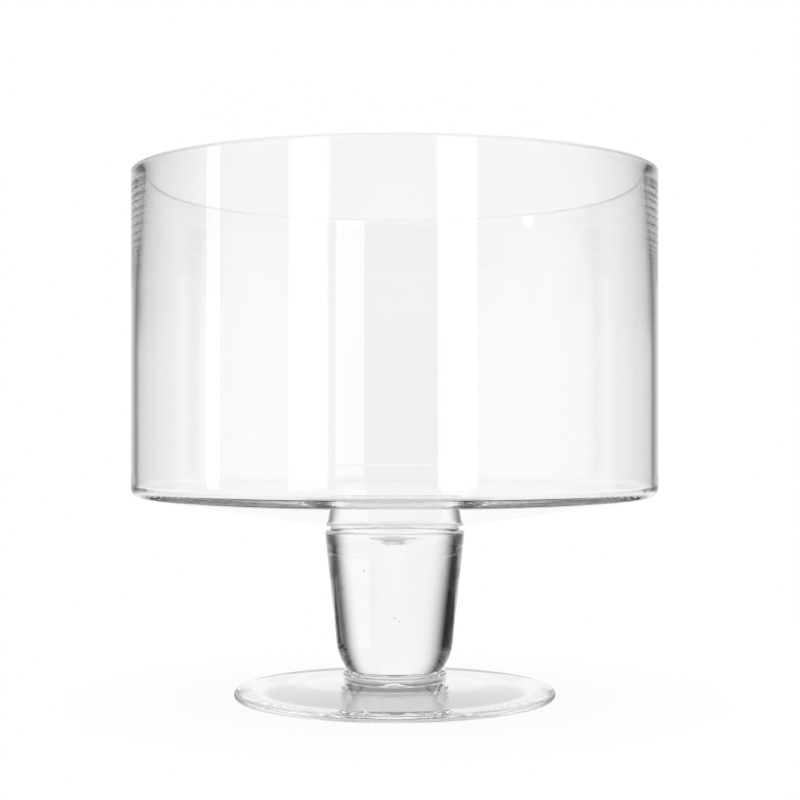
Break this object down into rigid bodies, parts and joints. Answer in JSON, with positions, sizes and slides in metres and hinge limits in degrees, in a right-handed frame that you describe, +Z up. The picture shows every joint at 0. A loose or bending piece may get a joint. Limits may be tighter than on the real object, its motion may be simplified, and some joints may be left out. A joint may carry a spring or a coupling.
{
  "type": "trifle bowl",
  "caption": "Footed clear glass trifle bowl: straight-sided cylindrical bowl with a rounded rim on a short solid tapered stem and a round flat-resting foot, for layered desserts.",
  "frame": {"origin": "centre of the foot's rest ring, on the table", "axes": "+Z is up along the bowl's axis; the bowl is round, so X and Y are alike, and the picture is taken from -Y"},
  "size_m": [0.2, 0.2, 0.1996],
  "materials": {
    "clear_glass": "clear blown soda-lime glass, fire-polished"
  },
  "bodies": {
    "root": {"bowl": "clear_glass", "neck_wafer": "clear_glass", "stem": "clear_glass", "foot_wafer": "clear_glass", "foot": "clear_glass"}
  },
  "joints": []
}
